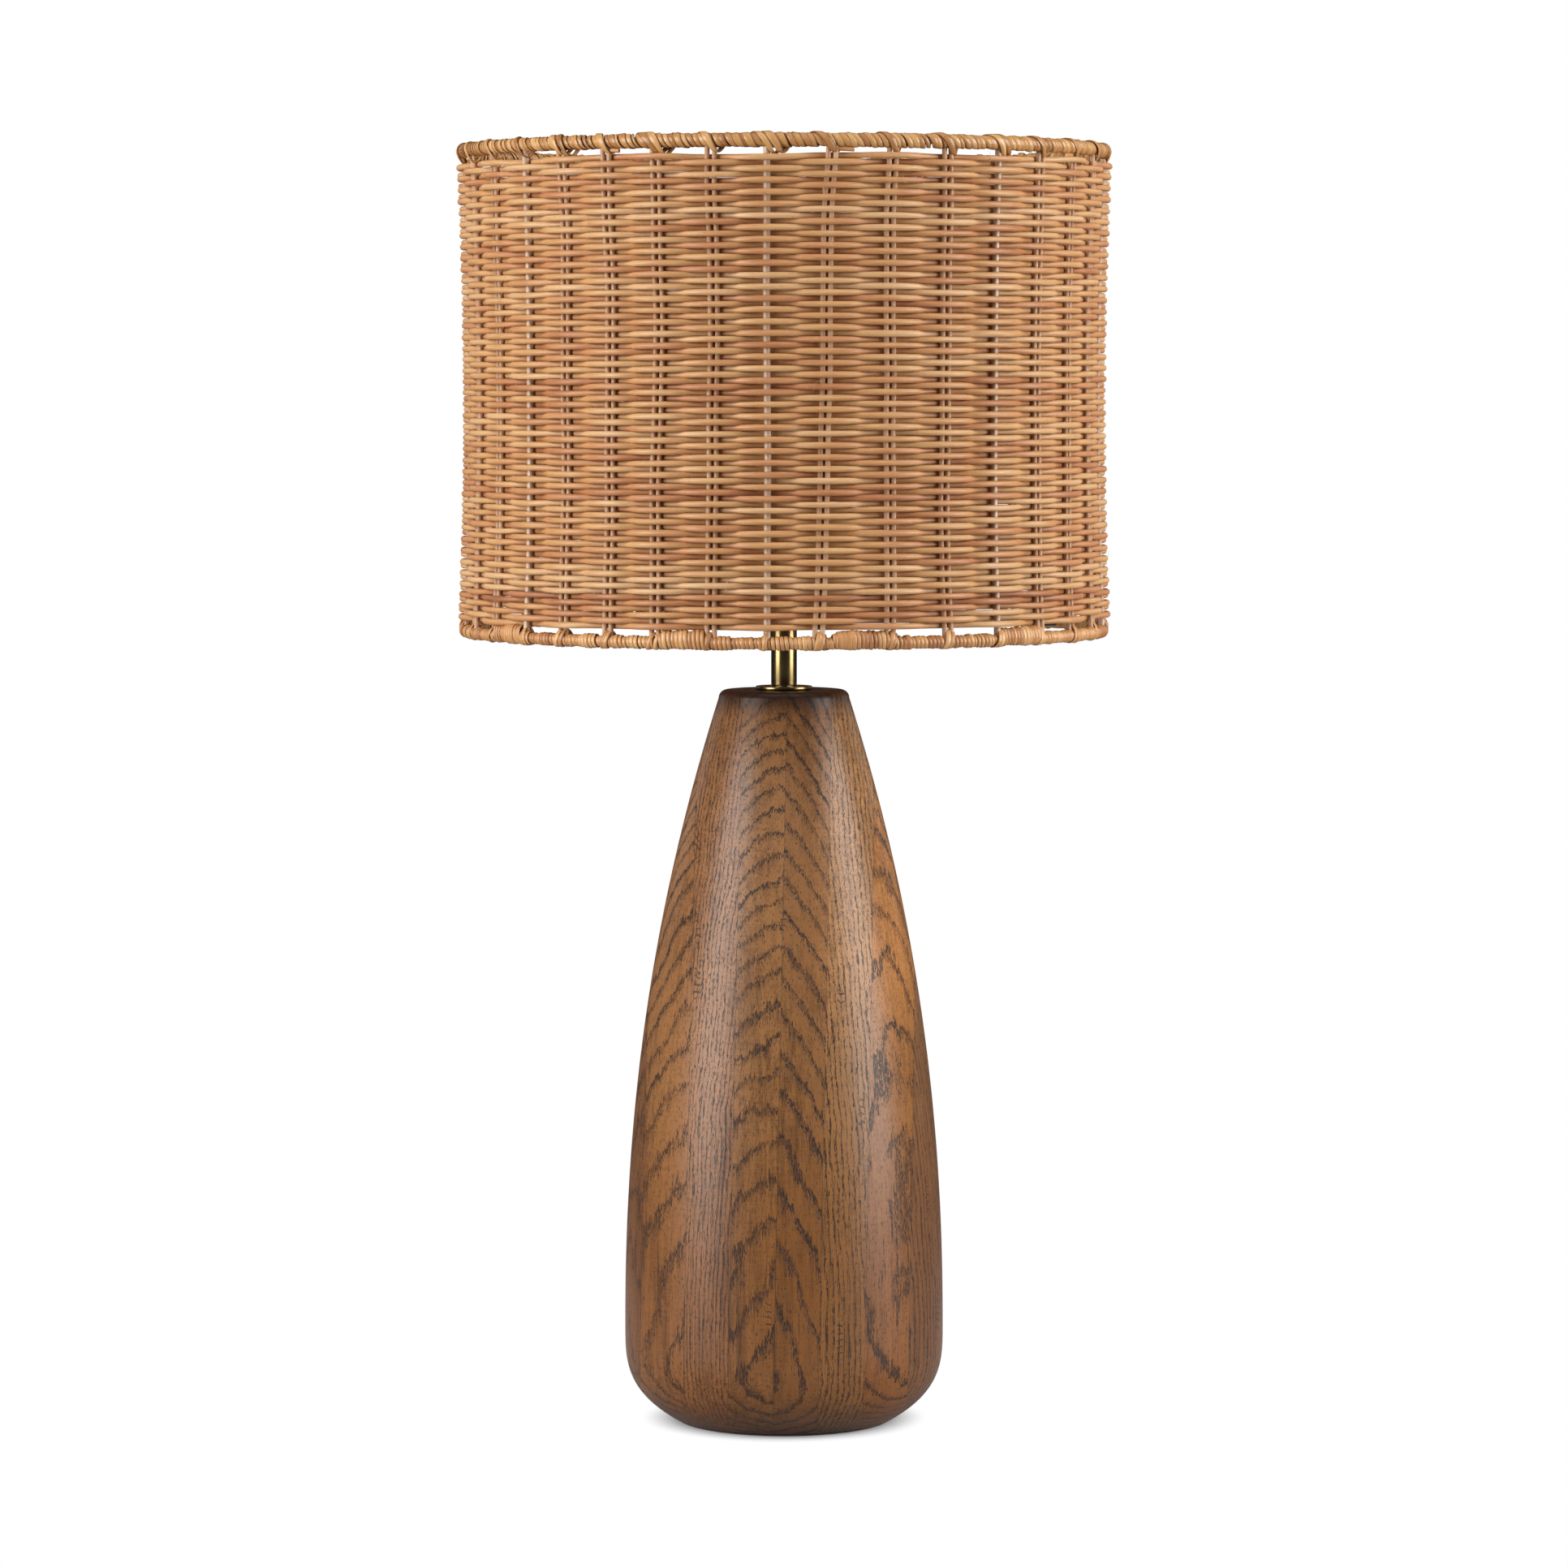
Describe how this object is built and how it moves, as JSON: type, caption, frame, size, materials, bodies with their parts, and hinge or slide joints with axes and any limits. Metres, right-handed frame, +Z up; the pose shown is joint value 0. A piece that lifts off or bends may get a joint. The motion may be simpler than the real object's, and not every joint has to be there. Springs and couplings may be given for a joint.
{
  "type": "table lamp with shade",
  "caption": "Table lamp: turned laminated timber base, short brass stem and a straight drum shade of woven rattan on a wire frame.",
  "frame": {"origin": "middle of the felt pad's underside, where the lamp stands", "axes": "+Z up along the lamp's axis; the front is -Y and the cord bush is at the back, +Y"},
  "size_m": [0.3998, 0.3998, 0.7851],
  "materials": {
    "ash_timber": "laminated ash boards turned as one, warm brown stain, satin lacquer",
    "dark_felt": "pressed felt",
    "aged_brass": "brushed, lightly aged",
    "zinc_steel": "zinc plated",
    "frame_steel": "copper-washed wire, dull",
    "dark_steel": "dark lacquered wire, semi-matt",
    "black_plastic": "moulded",
    "white_ceramic": "glazed porcelain",
    "bulb_cap_metal": "rolled thread",
    "bulb_glass": "opal",
    "rattan": "peeled round rattan core, matt with a slight sheen",
    "rattan_peel": "flat rattan peel, semi-gloss"
  },
  "bodies": {
    "base": {"bottom_nut": "zinc_steel", "bottom_washer": "zinc_steel", "centre_contact": "aged_brass", "cord_bush": "black_plastic", "escutcheon_disc": "aged_brass", "felt_pad": "dark_felt", "holder_cap": "aged_brass", "holder_insert": "white_ceramic", "holder_skirt": "aged_brass", "screw_shell": "aged_brass", "stem_tube": "aged_brass", "threaded_tube": "zinc_steel", "wood_body": "ash_timber"},
    "clamp_ring": {"clamp_ring": "aged_brass"},
    "shade": {"bottom_hoop": "frame_steel", "bottom_rim_wrap": "rattan_peel", "frame_strut_1": "frame_steel", "frame_strut_2": "frame_steel", "frame_strut_3": "frame_steel", "frame_strut_4": "frame_steel", "frame_strut_5": "frame_steel", "frame_strut_6": "frame_steel", "frame_strut_7": "frame_steel", "frame_strut_8": "frame_steel", "rattan_stake_01": "rattan", "rattan_stake_02": "rattan", "rattan_stake_03": "rattan", "rattan_stake_04": "rattan", "rattan_stake_05": "rattan", "rattan_stake_06": "rattan", "rattan_stake_07": "rattan", "rattan_stake_08": "rattan", "rattan_stake_09": "rattan", "rattan_stake_10": "rattan", "rattan_stake_11": "rattan", "rattan_stake_12": "rattan", "rattan_stake_13": "rattan", "rattan_stake_14": "rattan", "rattan_stake_15": "rattan", "rattan_stake_16": "rattan", "rattan_stake_17": "rattan", "rattan_stake_18": "rattan", "rattan_stake_19": "rattan", "rattan_stake_20": "rattan", "rattan_stake_21": "rattan", "rattan_stake_22": "rattan", "rattan_stake_23": "rattan", "rattan_stake_24": "rattan", "rattan_stake_25": "rattan", "rattan_stake_26": "rattan", "rattan_stake_27": "rattan", "spider_arm_1": "dark_steel", "spider_arm_2": "dark_steel", "spider_arm_3": "dark_steel", "spider_hub": "dark_steel", "top_hoop": "frame_steel", "top_rim_wrap": "rattan_peel", "woven_wall": "rattan"},
    "bulb": {"bulb_cap": "bulb_cap_metal", "bulb_glass": "bulb_glass"}
  },
  "joints": [
    {"name": "clamp_ring_lift", "type": "slide", "parent": "base", "child": "clamp_ring", "axis": [0, 0, 1], "range_m": [0, 0.33]},
    {"name": "shade_turn", "type": "hinge", "parent": "clamp_ring", "child": "shade", "pos_m": [0, 0, 0.5411], "axis": [0, 0, 1], "continuous": true},
    {"name": "bulb_lift", "type": "slide", "parent": "base", "child": "bulb", "axis": [0, 0, 1], "range_m": [0, 0.25]}
  ]
}
